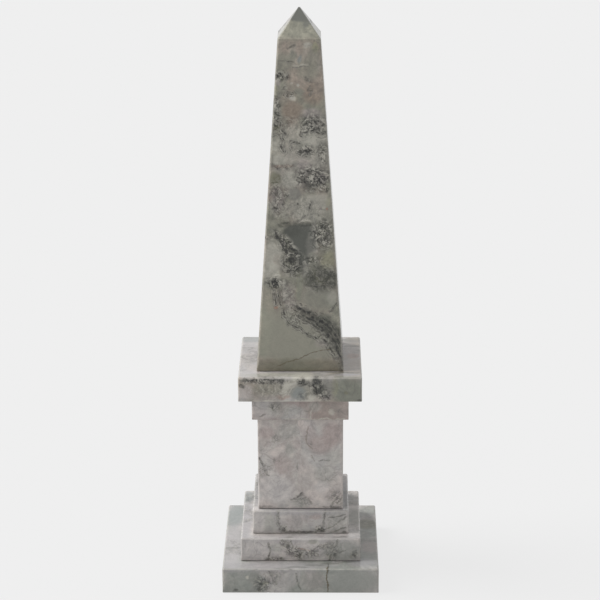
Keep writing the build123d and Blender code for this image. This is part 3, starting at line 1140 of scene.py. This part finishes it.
class Marble:
    """Marble of one block in the making: its fields of noise in mm, and the colour so far."""

    def __init__(self, graph, node, front, tones, groups):
        quarry_place, (first, second), self.liveliness = block_stones[node]
        self.graph = graph
        self.front = front
        self.tones = tones
        self.rows = stone_marks[node]
        self.place = object_millimetres(graph)
        self.here = graph.vector("ADD", self.place, quarry_place)
        # Places bent for the stone's broad drift, for its pebbles, for the dark mineral and for the marks
        self.broad = graph.bent(self.here, 30, 9)
        self.fine = graph.bent(self.broad, 7, 2.4)
        self.knots = graph.bent(graph.bent(self.here, 10, 4), 3.5, 1.3)
        marked_place = graph.bent(graph.bent(self.place, 8, 1.2), 2.6, 1.0)
        # Uneven width of the veins, weak places along them, and the coarse and fine mottling
        wobble = (graph.noise(self.here, 1.6, 2.0) - 0.5) * 1.3
        self.breaks = graph.ranged(graph.noise(self.here, 2.3, 2.0), 0.38, 0.58, 0.35, 1.0)
        self.mottle = graph.ranged(graph.noise(self.fine, 5, 5.0, 0.7), 0.32, 0.68)
        self.grain = graph.ranged(graph.noise(self.here, 1.1, 2.0), 0.3, 0.7)
        self.colour = self.ground(tones[first], tones[second])
        self.mark = Marks(graph, marked_place, wobble, front, groups)

    def lay(self, strength, tone):
        """Lays a tone over the colour so far."""
        self.colour = self.graph.blend(strength, self.colour, self.tones[tone])

    def shade(self, amount, low, high):
        """Multiplies the colour so far by a factor between low and high."""
        self.colour = self.graph.tinted(self.colour, amount, low, high)

    def lay_rows(self, kind, shape):
        """Lays the marks of one kind, each by its own tone."""
        for tone, *sizes in self.rows.get(kind, []):
            self.lay(shape(*sizes), tone)

    def ovals(self, kind, softness):
        """Strength of each oval of one kind."""
        for sizes in self.rows.get(kind, []):
            yield self.mark.oval(*sizes, softness=softness)

    def lines(self, kind):
        """Strength of each line of one kind."""
        for width, strength, points in self.rows.get(kind, []):
            yield self.mark.line(self.mark.stroke(points), width, strength)

    def ground(self, first, second):
        """Body of the stone: two tones that drift into each other, in patches of their own shade."""
        graph = self.graph
        hue = graph.ranged(graph.noise(self.broad, 34, 2.0), 0.42, 0.58, smooth=True)
        colour = graph.blend(hue, first, second)
        patches = graph.cells(self.fine, 11, "SMOOTH_F1", Smoothness=0.2)
        cool, warm = (0.95, 0.97, 0.96, 1.0), (1.05, 1.03, 1.02, 1.0)
        colour = graph.tinted(colour, graph.shade_of(patches, 0), cool, warm)
        return graph.tinted(colour, graph.shade_of(patches, 1), tint(0.89), tint(1.11))

    def healed(self):
        """Strength of the thin healed fractures between patches of stone."""
        graph = self.graph
        edges = graph.out(graph.cells(self.fine, 9, "DISTANCE_TO_EDGE"), "Distance")
        fractures = graph.ranged(edges, 0.05, 0.01, 0.0, 0.25, smooth=True)
        return fractures * graph.ranged(graph.noise(self.broad, 17, 1.0), 0.5, 0.66)

    def lay_body(self):
        """Changes of tone, healed fractures and mottling."""
        self.lay_rows("tones", self.mark.oval)
        self.lay(self.healed(), "slate")
        swing = 0.12 + 0.13 * self.liveliness
        self.shade(self.mottle, tint(1 - swing, -0.01), tint(1 + swing, 0.01))
        self.lay_rows("plain", self.mark.oval)
        self.lay_rows("tops", self.mark.patch)
        self.shade(self.mottle, tint(0.96), tint(1.04))
        self.shade(self.grain, tint(0.95), tint(1.05))

    def dark_bodies(self):
        """Strengths of the broken clusters and of the solid masses of dark mineral."""
        graph = self.graph
        # Away from the front, sheets of broken dark mineral run through the stone by themselves
        _, y, z = graph.parts(self.place)
        depth = y - (z - self.front.foot) * self.front.slope + self.front.half
        behind = graph.ranged(depth, 6, 18, smooth=True)
        sheet = graph.math("ABSOLUTE", graph.noise(self.broad, 55, 3.0, 0.55) - 0.5)
        cluster = graph.ranged(sheet, 0.06, 0.01, smooth=True) * behind * self.liveliness
        cluster = largest(graph, self.ovals("clusters", cluster_softness), cluster)
        mass = graph.ranged(sheet, 0.016, 0.004, smooth=True) * behind * self.liveliness
        mass = largest(graph, self.ovals("masses", mark_softness), mass)
        return cluster, mass

    def veins(self):
        """Strengths of the veins with their fibres, and of the crushed stone beside them."""
        graph = self.graph
        vein = 0.0
        nearest = 20.0
        for width, strength, points in self.rows.get("veins", []):
            distance = self.mark.stroke(points)
            vein = graph.math("MAXIMUM", vein, self.mark.line(distance, width, strength))
            nearest = graph.math("MINIMUM", nearest, distance / (width * strength))
        crushed = graph.ranged(nearest, 3.2, 1.0, 0.0, 0.5, smooth=True)
        # Fibres follow a vein on both sides, fade out away from it, and stop and start along it
        wave = graph.math("SINE", nearest * 3.9 + graph.noise(self.here, 9, 3.0, 0.6) * 14)
        fading = graph.ranged(nearest, 4.4, 1.5, 0.0, 0.95, smooth=True)
        fibres = graph.ranged(wave, 0.45, 0.9, smooth=True) * fading
        fibres = fibres * graph.ranged(graph.noise(self.here, 4, 1.0), 0.38, 0.52, smooth=True)
        return graph.math("MAXIMUM", vein, fibres) * self.breaks, crushed

    def broken_mineral(self):
        """Tangle of dark lines and specks, the size of a grain of rice and smaller."""
        graph = self.graph
        ridge = graph.math("ABSOLUTE", graph.noise(self.knots, 4.7, 2.0, 0.6) - 0.5)
        thick = graph.ranged(ridge, 0.06, 0.015, smooth=True)
        hair = graph.math("ABSOLUTE", graph.noise(self.knots, 2.3, 1.0) - 0.5)
        thin = graph.ranged(hair, 0.045, 0.0, 0.0, 0.55, smooth=True)
        specks = graph.ranged(graph.noise(self.here, 1.6, 2.0), 0.57, 0.68, smooth=True)
        smoke = graph.ranged(graph.noise(self.knots, 6.0, 3.0), 0.48, 0.68, 0.0, 0.75)
        return largest(graph, [thick, thin, specks, smoke])

    def lay_minerals(self):
        """Clusters, masses, veins, seams and cracks, with painted highlights along some lower arrises laid
        as seams. Returns the strength of the dark lines.
        """
        graph = self.graph
        cluster, mass = self.dark_bodies()
        vein, crushed = self.veins()
        cluster = graph.math("MAXIMUM", cluster, crushed)
        seam_and_highlight = largest(graph, self.lines("seams"), crushed * 0.3) * (self.breaks * 0.6 + 0.4)
        rubble = graph.ranged(graph.shade_of(graph.cells(self.knots, 2.4), 1), 0.45, 0.7)
        pale = graph.math("MAXIMUM", rubble * cluster * 0.85, seam_and_highlight)
        dark = graph.math("MAXIMUM", self.broken_mineral() * cluster * 0.95, vein)
        self.lay(cluster * 0.3, "slate")
        # Pale rubble and seams, and with them the painted highlights along the lower arrises
        self.lay(pale, "bright")
        self.lay(mass * graph.ranged(self.mottle, 0.1, 0.7, 0.95, 0.5), "slate_dark")
        self.lay(dark, "ink")
        cracks = largest(graph, self.lines("cracks"))
        if cracks is not None:
            self.lay(cracks, "crack")
        return dark

    def lay_bruise_and_highlight(self):
        """Paler stone along the arrises: partly bruised stone and partly a painted highlight of the
        arrises. Returns how far onto an arris a place is.
        """
        graph = self.graph
        arris = graph.out(graph.node("ShaderNodeAttribute", attribute_name="arris"), "Fac")
        bruise_and_highlight_share = graph.ranged(graph.noise(self.here, 2.6, 2.0), 0.35, 0.65, 0.15, 0.5)
        self.lay(arris * bruise_and_highlight_share, "bruise_and_highlight")
        return arris


# Polish of the marble: its roughness, and what mottling, dark mineral and worn arrises add to it
polished_roughness = 0.1
mottle_roughness = 0.06
mineral_roughness = 0.16
arris_roughness = 0.14

# Unevenness of the polished surface: long waves and fine pits, for the bump
wave_share = 1.2
pit_share = 0.04


def stone_material(name, node, front, tones, groups):
    """Polished breccia marble of one block, with the marks that its front shows."""
    material, graph = new_material(name)
    marble = Marble(graph, node, front, tones, groups)
    marble.lay_body()
    dark = marble.lay_minerals()
    arris = marble.lay_bruise_and_highlight()
    rough = marble.mottle * mottle_roughness + polished_roughness + dark * mineral_roughness
    rough = rough + arris * arris_roughness
    waves = graph.noise(marble.here, 16, 1.0)
    pits = graph.noise(marble.here, 0.8, 1.0)
    height = waves * wave_share + pits * pit_share
    finish_material(
        graph,
        {"Base Color": marble.colour, "Roughness": rough, "IOR": 1.52},
        {"Height": height, "Distance": 0.03 * MM, "Strength": 0.6},
    )
    return material


def resin_material(tones):
    """Brownish bonding resin, slightly cloudy."""
    material, graph = new_material("stone resin")
    here = object_millimetres(graph)
    cloud = graph.noise(graph.bent(here, 6, 2), 4, 3.0)
    colour = graph.blend(graph.ranged(cloud, 0.35, 0.65), tones["resin_dark"], tones["resin_light"])
    finish_material(
        graph,
        {"Base Color": colour, "Roughness": graph.ranged(cloud, 0.3, 0.7, 0.35, 0.55)},
        {"Height": graph.noise(here, 0.8, 2.0), "Distance": 0.1 * MM},
    )
    return material


def steel_material(tones):
    """Zinc-plated steel, dull with a faint bloom and fine scratches."""
    material, graph = new_material("zinc steel")
    here = object_millimetres(graph)
    bloom = graph.noise(graph.bent(here, 5, 2), 3.5, 4.0, 0.6)
    colour = graph.blend(graph.ranged(bloom, 0.35, 0.65), tones["steel_dark"], tones["steel_light"])
    scratches = graph.noise(graph.vector("MULTIPLY", here, (6.0, 6.0, 1.0)), 1.2, 2.0)
    finish_material(
        graph,
        {"Base Color": colour, "Metallic": 1.0, "Roughness": graph.ranged(bloom, 0.3, 0.7, 0.28, 0.46)},
        {"Height": scratches, "Distance": 0.02 * MM},
    )
    return material


# Settings


def length_setting(name, description, default):
    """Setting in metres."""
    return FloatProperty(
        name=name, description=description, default=default, min=0.0, subtype="DISTANCE", unit="LENGTH"
    )


def share_setting(name, description, default):
    """Setting from 0 to 1."""
    return FloatProperty(
        name=name, description=description, default=default, min=0.0, max=1.0, subtype="FACTOR"
    )


def count_setting(name, description, default):
    """Setting that is a number of mesh cells."""
    return IntProperty(name=name, description=description, default=default, min=2, max=400)


def angle_setting(name, description, degrees):
    """Setting that is an angle."""
    return FloatProperty(
        name=name, description=description, default=math.radians(degrees), subtype="ANGLE", unit="ROTATION"
    )


def colour_setting(name, description, colour):
    """Setting that is a colour."""
    return FloatVectorProperty(
        name=name, description=description, default=colour, min=0.0, max=1.0, size=3, subtype="COLOR"
    )


def tone_setting(name, description, red, green, blue):
    """Colour of the stone, given as an upright face shows it on a screen."""
    return colour_setting(name, description, stone_tone(red, green, blue))


class StoneShape(bpy.types.PropertyGroup):
    """Sizes of the dressed stone that the frame doesn't give."""

    slab_arris: length_setting("Slab arris", "Width taken off a slab's faces beside each arris", 1.2 * MM)
    die_arris: length_setting("Die arris", "Width taken off the die's faces beside each arris", 1.0 * MM)
    shaft_arris: length_setting("Shaft arris", "Width taken off the shaft beside each arris", 1.4 * MM)
    chip_depth: length_setting("Chip depth", "How much deeper the arris is where it is chipped", 1.1 * MM)
    roundness: FloatProperty(
        name="Roundness",
        description="1 is a flat bevel and 2 a quarter circle",
        default=1.3,
        min=1.0,
        max=4.0,
    )
    unevenness: share_setting("Unevenness", "How much the width of an arris wanders", 0.14)
    foot_share: share_setting("Foot share", "How much of the arris is taken off at a block's foot", 0.32)
    grid: length_setting("Grid", "Spacing of the mesh on the flat faces", 1.25 * MM)
    arris_cells: count_setting("Arris cells", "Mesh cells beside each arris", 4)
    shaft_cells: count_setting("Shaft cells", "Mesh cells across the flat of a shaft face", 44)
    pyramidion_rings: count_setting("Pyramidion rings", "Mesh cells up the pyramidion", 22)
    bore_radius: length_setting("Bore radius", "Passage of the tie rod", 5.0 * MM)
    recess_radius: length_setting("Recess radius", "Pocket under the plinth for washer and nut", 14.0 * MM)
    recess_depth: length_setting("Recess depth", "Depth of that pocket", 12.5 * MM)


class StoneTones(bpy.types.PropertyGroup):
    """Colours of the marble."""

    olive: tone_setting("Olive", "Greenish grey ground", 123, 122, 113)
    yellow_olive: tone_setting("Yellow olive", "Warm greenish patches", 126, 125, 108)
    dark_olive: tone_setting("Dark olive", "Deep greenish patches", 106, 105, 91)
    pale_olive: tone_setting("Pale olive", "Light greenish patches", 136, 136, 124)
    green_grey: tone_setting("Green grey", "Cool smooth patches", 116, 117, 109)
    blue_grey: tone_setting("Blue grey", "Coldest patches", 123, 127, 126)
    clean: tone_setting("Clean", "Even patches without veins", 129, 128, 118)
    grey: tone_setting("Grey", "Neutral patches", 116, 115, 110)
    tip_grey: tone_setting("Tip grey", "Grey of the tip of the pyramidion", 99, 100, 96)
    pink: tone_setting("Pink", "Pinkish brown ground", 134, 126, 118)
    rose: tone_setting("Rose", "Light pinkish ground", 161, 155, 152)
    blush: tone_setting("Blush", "Rosy grey patches", 148, 138, 135)
    sage: tone_setting("Sage", "Light greenish grey patches", 149, 148, 143)
    lilac: tone_setting("Lilac", "Pale cold patches", 139, 137, 138)
    ash: tone_setting("Ash", "Light neutral ground", 152, 149, 147)
    pale_ash: tone_setting("Pale ash", "Palest neutral ground", 165, 161, 159)
    cool: tone_setting("Cool", "Cool grey ground", 131, 132, 128)
    fawn: tone_setting("Fawn", "Warm brownish ground", 148, 141, 132)
    brown: tone_setting("Brown", "Brown patches", 128, 118, 108)
    mauve: tone_setting("Mauve", "Mauve grey patches", 137, 131, 128)
    pale: tone_setting("Pale", "Pale patches", 148, 146, 138)
    bright: tone_setting("Bright", "Palest pebbles and grains", 166, 163, 154)
    rust: tone_setting("Rust", "Rust stains", 140, 114, 101)
    crack: tone_setting("Crack", "Healed cracks", 88, 81, 68)
    slate: tone_setting("Slate", "Dark smooth core", 87, 88, 84)
    slate_dark: tone_setting("Dark slate", "Dark mineral in the mass", 68, 69, 65)
    ink: tone_setting("Ink", "Dark mineral in the veins", 52, 54, 48)
    # Pale tone along every arris: partly crushed stone and partly a painted highlight of the arrises
    bruise_and_highlight: tone_setting("Bruise", "Crushed stone along the arrises", 154, 151, 144)


class FittingTones(bpy.types.PropertyGroup):
    """Colours of the resin and of the tie rod's steel."""

    resin_dark: colour_setting("Dark resin", "Cloudy parts of the resin", (0.2, 0.18, 0.155))
    resin_light: colour_setting("Light resin", "Clear parts of the resin", (0.31, 0.29, 0.25))
    steel_dark: colour_setting("Dark steel", "Steel where the zinc has dulled", (0.5, 0.51, 0.5))
    steel_light: colour_setting("Light steel", "Steel where the zinc is fresh", (0.66, 0.65, 0.6))


class RodShape(bpy.types.PropertyGroup):
    """Screw thread of the tie rod."""

    pitch: length_setting("Pitch", "Height of one turn of the thread", 1.25 * MM)
    thread_depth: length_setting("Thread depth", "Depth of the groove", 0.68 * MM)
    lower_thread: length_setting("Lower thread", "Length threaded at the foot", 22 * MM)
    upper_thread: length_setting("Upper thread", "Length threaded at the top", 40 * MM)


class StageLight(bpy.types.PropertyGroup):
    """Light and floor of the stage."""

    background: share_setting("Background", "Brightness of floor and room as the camera sees them", 0.863)
    room: FloatProperty(
        name="Room", description="Strength of the light from all round", default=0.72, min=0.0, max=3.0
    )
    key: FloatProperty(
        name="Key", description="Strength of the light from the left", default=3.46, min=0.0, max=20.0
    )
    key_elevation: angle_setting("Key elevation", "Height of that light above the horizon", 48)
    key_azimuth: angle_setting("Key azimuth", "Its bearing, from the left towards the back", 6)
    key_width: angle_setting("Key width", "Its width as seen from the object", 34)


# Operators


def finish_piece(piece, node):
    """Hangs the piece on the root body and hides the CAD node that it stands for."""
    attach(piece, "root")
    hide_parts(node)


def repaint(node, material):
    """Gives a CAD node the finish in each of its material slots."""
    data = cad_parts[node].data
    if not data.materials:
        data.materials.append(material)
    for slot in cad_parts[node].material_slots:
        slot.material = material


def tones_of(group):
    """Colours of a group of settings by name, as shader inputs."""
    return {name: (*getattr(group, name), 1.0) for name in type(group).__annotations__}


# The fine mesh cells beside an arris reach this many arris widths onto the face
arris_zone_widths = 1.3


def stone_values(shape, arris, seed, bore_depth, material):
    """Inputs that every stone's tree takes."""
    return {
        "Arris": arris,
        "Arris Cells": shape.arris_cells,
        "Arris Zone": arris * arris_zone_widths,
        "Roundness": shape.roundness,
        "Unevenness": shape.unevenness,
        "Foot Share": shape.foot_share,
        "Chip Depth": shape.chip_depth,
        "Bore Radius": shape.bore_radius,
        "Bore Depth": bore_depth,
        "Seed": seed,
        "Stone": material,
    }


def cells_for(length, shape, arris):
    """Mesh cells along this length, with fine ones beside the arris at both ends."""
    flat = length - 2 * arris * arris_zone_widths
    return 2 * shape.arris_cells + round(flat / shape.grid)


# Seeds of the wear, a different one for each block
first_seed = 0.31
seed_step = 0.17
shaft_seed = 2.7

# How far a bore is cut past the top of its block
bore_overrun = 2 * MM


class OBELISK_OT_dress_pedestal(bpy.types.Operator):
    """Cut and polish the six blocks of the pedestal"""

    bl_idname = "obelisk.dress_pedestal"
    bl_label = "Dress the pedestal"

    def execute(self, context):
        shape = context.scene.obelisk_stone
        tones = tones_of(context.scene.obelisk_tones)
        tree = block_tree()
        groups = mark_groups()
        for number, node in enumerate(pedestal_blocks):
            side, height, foot = box_of(node)
            front = Front(foot / MM, height / MM, side / 2 / MM)
            material = stone_material(node + " marble", node, front, tones, groups)
            arris = shape.die_arris if node == "die" else shape.slab_arris
            seed = first_seed + seed_step * number
            values = stone_values(shape, arris, seed, height + bore_overrun, material)
            values.update({"Side": side, "Height": height, "Foot": foot})
            values["Cells Across"] = cells_for(side, shape, arris)
            values["Cells Up"] = cells_for(height, shape, arris)
            if node == "plinth":
                values["Recess Radius"] = shape.recess_radius
                values["Recess Depth"] = shape.recess_depth
            finish_piece(grown(node + "_stone", tree, values), node)
        return {"FINISHED"}


# Points of the CAD shaft this close to a level or a face count as on it
hairline = 0.01 * MM


def shaft_levels():
    """Shoulder height above the foot, and sides at foot, shoulder and tip, read from the CAD node."""
    low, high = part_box("obelisk_shaft")
    height = high[2] - low[2]
    points = [(point.co.x, point.co.z - low[2]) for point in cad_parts["obelisk_shaft"].data.vertices]
    tip = max(x for x, z in points if z > height - hairline)
    widest = high[0]
    lean = (widest - tip) / height
    # The shoulder is the point of the outline that stands farthest out from the line between foot and tip
    shoulder, level = max(points, key=lambda point: point[0] - widest + lean * point[1])
    foot_level = min(z for x, z in points if x > widest - hairline)
    foot = shoulder + (widest - shoulder) * level / (level - foot_level)
    return level, 2 * foot, 2 * shoulder, 2 * tip


def blind_bore_depth(bore_radius):
    """Depth of the rod's hole, which is all that the CAD shaft's lower half has near its axis."""
    _, height, foot = box_of("obelisk_shaft")
    points = [point.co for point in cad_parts["obelisk_shaft"].data.vertices]
    near = [point for point in points if math.hypot(point.x, point.y) < bore_radius + 10 * hairline]
    return max(point.z for point in near if point.z < foot + height / 2) - foot


class OBELISK_OT_dress_shaft(bpy.types.Operator):
    """Cut and polish the shaft with its pyramidion"""

    bl_idname = "obelisk.dress_shaft"
    bl_label = "Dress the shaft"

    def execute(self, context):
        shape = context.scene.obelisk_stone
        tones = tones_of(context.scene.obelisk_tones)
        _, height, foot = box_of("obelisk_shaft")
        shoulder_height, foot_side, shoulder_side, tip_side = shaft_levels()
        front = Front(
            foot / MM,
            height / MM,
            foot_side / 2 / MM,
            (foot_side - shoulder_side) / 2 / shoulder_height,
            shoulder_height / MM,
            (shoulder_side - tip_side) / 2 / (height - shoulder_height),
        )
        material = stone_material("shaft marble", "obelisk_shaft", front, tones, mark_groups())
        bore_depth = blind_bore_depth(shape.bore_radius)
        values = stone_values(shape, shape.shaft_arris, shaft_seed, bore_depth, material)
        values.update(
            {
                "Foot Side": foot_side,
                "Shoulder Side": shoulder_side,
                "Tip Side": tip_side,
                "Shoulder Height": shoulder_height,
                "Height": height,
                "Foot": foot,
                "Cells Across": 2 * shape.arris_cells + shape.shaft_cells,
                "Foot Rings": shape.arris_cells,
                "Shaft Rings": round(shoulder_height / shape.grid),
                "Pyramidion Rings": shape.pyramidion_rings,
            }
        )
        finish_piece(grown("shaft_stone", shaft_tree(), values), "obelisk_shaft")
        return {"FINISHED"}


class OBELISK_OT_cut_rod(bpy.types.Operator):
    """Cut the screw threads of the tie rod, and finish its nut and washer"""

    bl_idname = "obelisk.cut_rod"
    bl_label = "Cut the tie rod"

    def execute(self, context):
        shape = context.scene.obelisk_rod
        steel = steel_material(tones_of(context.scene.obelisk_fittings))
        width, length, foot = box_of("tie_rod")
        values = {
            "Radius": width / 2,
            "Length": length,
            "Foot": foot,
            "Pitch": shape.pitch,
            "Thread Depth": shape.thread_depth,
            "Lower Thread": shape.lower_thread,
            "Upper Thread": shape.upper_thread,
            "Steel": steel,
        }
        finish_piece(grown("threaded_tie_rod", rod_tree(), values), "tie_rod")
        for node in ("tie_rod_nut", "tie_rod_washer"):
            repaint(node, steel)
        return {"FINISHED"}


class OBELISK_OT_bed_joints(bpy.types.Operator):
    """Finish the resin of the beds and of the rod's anchor"""

    bl_idname = "obelisk.bed_joints"
    bl_label = "Bed the joints"

    def execute(self, context):
        resin = resin_material(tones_of(context.scene.obelisk_fittings))
        for node in resin_nodes:
            repaint(node, resin)
        return {"FINISHED"}


class OBELISK_OT_set_stage(bpy.types.Operator):
    """Lay the floor, hang the lights and place the camera"""

    bl_idname = "obelisk.set_stage"
    bl_label = "Set the stage"

    def execute(self, context):
        scene = context.scene
        light = scene.obelisk_light
        set_room(scene, light)
        lay_floor(scene, light)
        hang_key(scene, light)
        place_camera(scene)
        scene.view_settings.view_transform = "Standard"
        return {"FINISHED"}


# Share by which the room is brighter on the left and darker on the right
room_lean = 0.35

floor_reach = 30.0
floor_drop = 0.1 * MM
floor_shadow_share = 0.12
whitest_paper = 0.9


def even_grey(level):
    """Grey of this level as a shader input."""
    return (level, level, level, 1.0)


def seen_plainly(graph):
    """1 for what the camera sees or a polished face mirrors, and 0 for light that falls on things."""
    path = graph.node("ShaderNodeLightPath")
    return graph.math("MAXIMUM", graph.out(path, "Is Camera Ray"), graph.out(path, "Is Glossy Ray"))


def set_room(scene, light):
    """Pale room, brighter on the left, that shows as the plain background."""
    world = bpy.data.worlds.new("pale room")
    world.use_nodes = True
    world.node_tree.nodes.clear()
    graph = Graph(world.node_tree)
    direction = graph.out(graph.node("ShaderNodeTexCoord"), "Generated")
    side = graph.parts(direction)[0]
    strength = graph.ranged(side, -1.0, 1.0, light.room * (1 + room_lean), light.room * (1 - room_lean))
    lit = graph.node("ShaderNodeBackground", {"Color": even_grey(1.0), "Strength": strength})
    plain = graph.node("ShaderNodeBackground", {"Color": even_grey(light.background), "Strength": 1.0})
    seen = seen_plainly(graph)
    both = graph.node("ShaderNodeMixShader", {0: seen, 1: graph.out(lit), 2: graph.out(plain)})
    graph.node("ShaderNodeOutputWorld", {"Surface": graph.out(both)})
    graph.arrange()
    scene.world = world


def lay_floor(scene, light):
    """Pale floor that keeps a soft shadow of the object."""
    mesh = bpy.data.meshes.new("floor")
    sides = [(-1, -1), (1, -1), (1, 1), (-1, 1)]
    corners = [(x * floor_reach, y * floor_reach, -floor_drop) for x, y in sides]
    mesh.from_pydata(corners, [], [(0, 1, 2, 3)])
    floor = bpy.data.objects.new("floor", mesh)
    scene.collection.objects.link(floor)
    material, graph = new_material("floor paper")
    falling = light.room + light.key / math.pi * math.sin(light.key_elevation)
    paper = min(light.background / falling, whitest_paper)
    matt = graph.node("ShaderNodeBsdfDiffuse", {"Color": even_grey(paper)})
    plain = graph.node("ShaderNodeEmission", {"Color": even_grey(light.background), "Strength": 1.0})
    share = seen_plainly(graph) * (1.0 - floor_shadow_share)
    both = graph.node("ShaderNodeMixShader", {0: share, 1: graph.out(matt), 2: graph.out(plain)})
    graph.node("ShaderNodeOutputMaterial", {"Surface": graph.out(both)})
    graph.arrange()
    mesh.materials.append(material)


def hang_key(scene, light):
    """Wide soft light from the left."""
    data = bpy.data.lights.new("key light", "SUN")
    data.energy = light.key
    data.angle = light.key_width
    key = bpy.data.objects.new("key light", data)
    key.rotation_euler = Euler((0.0, -(math.pi / 2 - light.key_elevation), -light.key_azimuth), "XYZ")
    # The polished tops would mirror this light as a white glare when seen from the right
    key.visible_glossy = False
    scene.collection.objects.link(key)


# Camera of the photo, solved from the edges of the blocks
camera_place = (18.1 * MM, -1556.4 * MM, 745.3 * MM)
camera_turn = 0.0118
camera_dip = 0.3218
camera_roll = -0.004
camera_lens = 123.84
sensor_width = 36.0


def place_camera(scene):
    """Camera of the photo, which the scene then renders through."""
    data = bpy.data.cameras.new("camera")
    data.lens = camera_lens
    data.sensor_width = sensor_width
    data.clip_start = 0.05
    data.clip_end = 200.0
    camera = bpy.data.objects.new("camera", data)
    camera.location = camera_place
    aim = Euler((math.pi / 2 - camera_dip, 0.0, camera_turn), "XYZ").to_matrix()
    roll = Euler((0.0, 0.0, camera_roll), "XYZ").to_matrix()
    camera.rotation_euler = (aim @ roll).to_euler("XYZ")
    scene.collection.objects.link(camera)
    scene.camera = camera


settings = {
    "obelisk_stone": StoneShape,
    "obelisk_tones": StoneTones,
    "obelisk_fittings": FittingTones,
    "obelisk_rod": RodShape,
    "obelisk_light": StageLight,
}

steps = [
    OBELISK_OT_dress_pedestal,
    OBELISK_OT_dress_shaft,
    OBELISK_OT_cut_rod,
    OBELISK_OT_bed_joints,
    OBELISK_OT_set_stage,
]


class OBELISK_PT_panel(bpy.types.Panel):
    """Steps and settings of the obelisk"""

    bl_idname = "OBELISK_PT_panel"
    bl_label = "Marble Table Obelisk"
    bl_space_type = "VIEW_3D"
    bl_region_type = "UI"
    bl_category = "Obelisk"

    def draw(self, context):
        for step in steps:
            self.layout.operator(step.bl_idname)
        for name in settings:
            box = self.layout.box()
            group = getattr(context.scene, name)
            for setting in type(group).__annotations__:
                box.prop(group, setting)


registered = [*settings.values(), *steps, OBELISK_PT_panel]


def register():
    for made in registered:
        bpy.utils.register_class(made)
    for name, group in settings.items():
        setattr(bpy.types.Scene, name, PointerProperty(type=group))


def unregister():
    for name in settings:
        delattr(bpy.types.Scene, name)
    for made in reversed(registered):
        bpy.utils.unregister_class(made)


def main():
    register()
    bpy.ops.obelisk.dress_pedestal()
    bpy.ops.obelisk.dress_shaft()
    bpy.ops.obelisk.cut_rod()
    bpy.ops.obelisk.bed_joints()
    bpy.ops.obelisk.set_stage()


if __name__ == "__main__":
    main()
